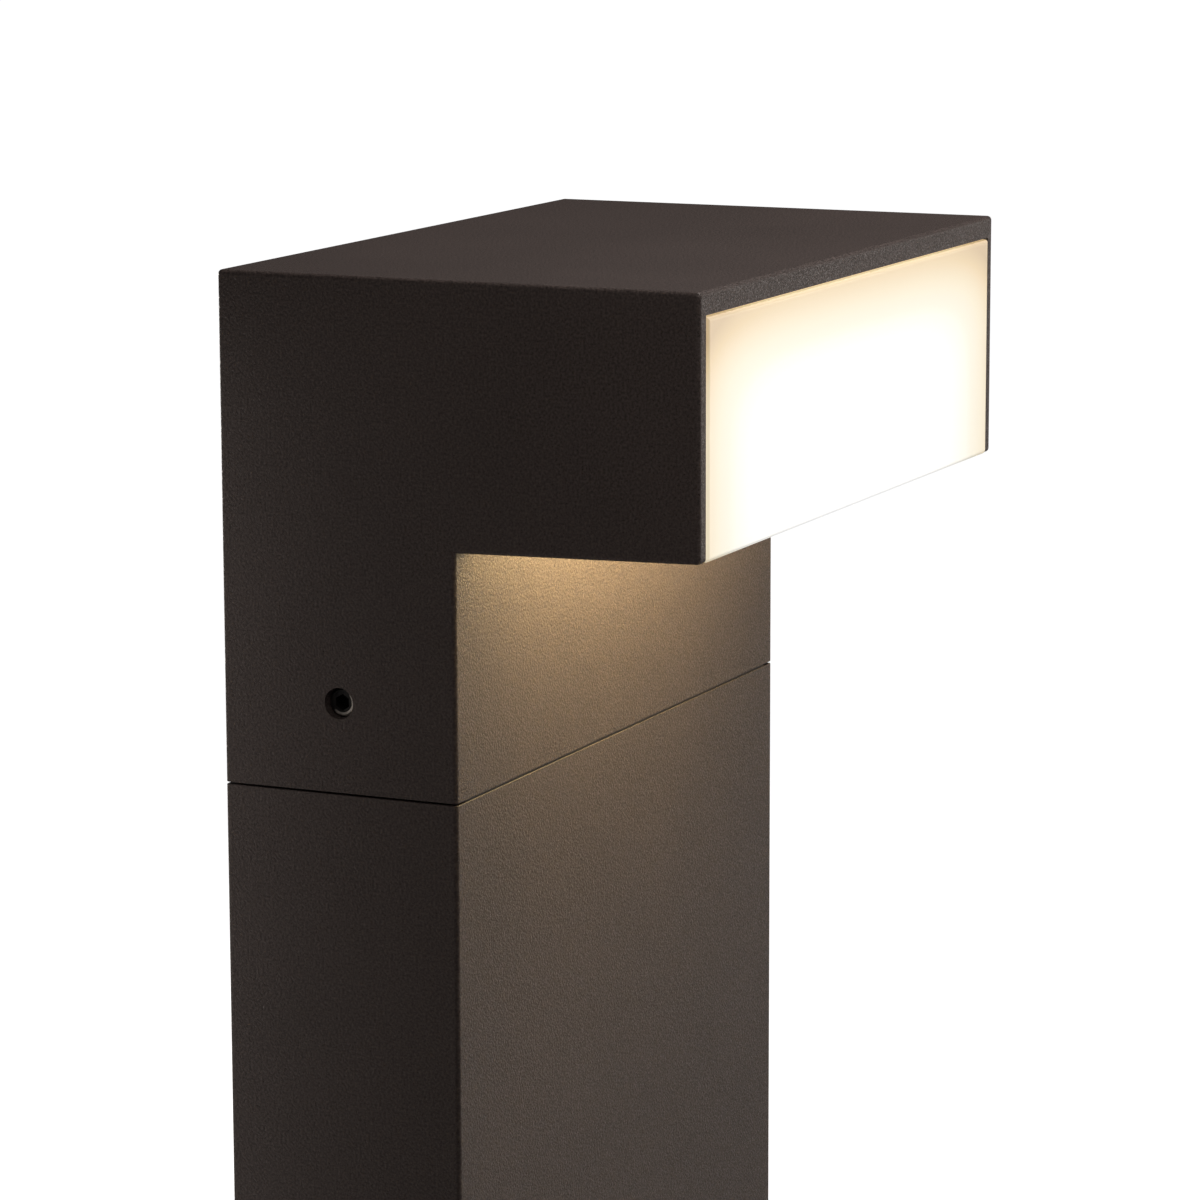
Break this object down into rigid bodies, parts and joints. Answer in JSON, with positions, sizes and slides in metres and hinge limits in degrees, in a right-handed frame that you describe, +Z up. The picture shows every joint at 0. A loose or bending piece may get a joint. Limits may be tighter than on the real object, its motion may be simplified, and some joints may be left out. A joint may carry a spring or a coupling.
{
  "type": "bollard light",
  "caption": "Rectangular garden bollard light: extruded post on a cast foot, with a lift-off inverted-L head whose opal window lights forwards and downwards.",
  "frame": {"origin": "on the ground, at the centre of the foot's four anchor holes, which is the centre of the post's section", "axes": "+Z up, -Y the way the lit window faces, +X to the right seen from the front"},
  "size_m": [0.18, 0.1128, 0.5],
  "materials": {
    "powder_coat": "fine textured anthracite-brown powder coat",
    "opal": "opal acrylic, lit",
    "silicone": "translucent silicone",
    "epdm": "black EPDM rubber",
    "cast_raw": "die-cast aluminium, shot blasted",
    "stainless": "stainless steel",
    "black_oxide": "blackened steel with a bright turned end",
    "zinc_steel": "zinc plated steel",
    "black_plastic": "moulded polyamide, black",
    "white_plastic": "moulded polycarbonate, white",
    "brass": "nickel-free turned brass",
    "board_white": "white solder mask",
    "board_green": "green solder mask",
    "thermal": "grey thermal silicone",
    "led": "LED package with phosphor",
    "component": "coated components",
    "wire_blue": "blue PVC insulation",
    "wire_brown": "brown PVC insulation",
    "wire_earth": "green and yellow PVC insulation",
    "wire_red": "red silicone insulation",
    "wire_black": "black silicone insulation"
  },
  "bodies": {
    "post": {"base_plate": "powder_coat", "base_screws": "stainless", "cable_grommet": "epdm", "post_profile": "powder_coat", "seam_gasket": "epdm", "spigot": "cast_raw", "spigot_screws": "stainless", "gland_body": "black_plastic", "gland_seal": "epdm", "gland_cap_nut": "black_plastic", "gland_lock_nut": "black_plastic", "terminal_block": "white_plastic", "terminal_clamp_screws": "zinc_steel", "terminal_fixing_screws": "zinc_steel", "socket_bracket": "zinc_steel", "bracket_screws": "zinc_steel", "supply_socket": "black_plastic", "lead_neutral_lower": "wire_blue", "lead_live_lower": "wire_brown", "lead_earth_lower": "wire_earth", "bonding_lead": "wire_earth", "bonding_lug": "zinc_steel", "bonding_screw": "zinc_steel"},
    "head": {"head_housing": "powder_coat", "diffuser": "opal", "diffuser_seal": "silicone", "thermal_pad": "thermal", "led_board": "board_white", "leds": "led", "reflector": "white_plastic", "board_screws": "zinc_steel", "board_connector": "white_plastic", "lead_grommet": "epdm", "gear_tray": "zinc_steel", "tray_screws": "zinc_steel", "driver_case": "white_plastic", "driver_cover": "white_plastic", "driver_board": "board_green", "driver_components": "component", "driver_screws": "zinc_steel", "supply_plug": "black_plastic", "plug_pins": "brass", "lead_neutral_upper": "wire_blue", "lead_live_upper": "wire_brown", "lead_earth_upper": "wire_earth", "head_earth_lug": "zinc_steel", "head_earth_screw": "zinc_steel", "led_lead_positive": "wire_red", "led_lead_negative": "wire_black"},
    "grub_screw_left": {"grub_screw_left": "black_oxide"},
    "grub_screw_right": {"grub_screw_right": "black_oxide"}
  },
  "joints": [
    {"name": "head_lift", "type": "slide", "parent": "post", "child": "head", "axis": [0, 0, 1], "range_m": [0, 0.08]},
    {"name": "grub_left_back_off", "type": "slide", "parent": "head", "child": "grub_screw_left", "axis": [-1, 0, 0], "range_m": [0, 0.003]},
    {"name": "grub_right_back_off", "type": "slide", "parent": "head", "child": "grub_screw_right", "axis": [1, 0, 0], "range_m": [0, 0.003]}
  ]
}
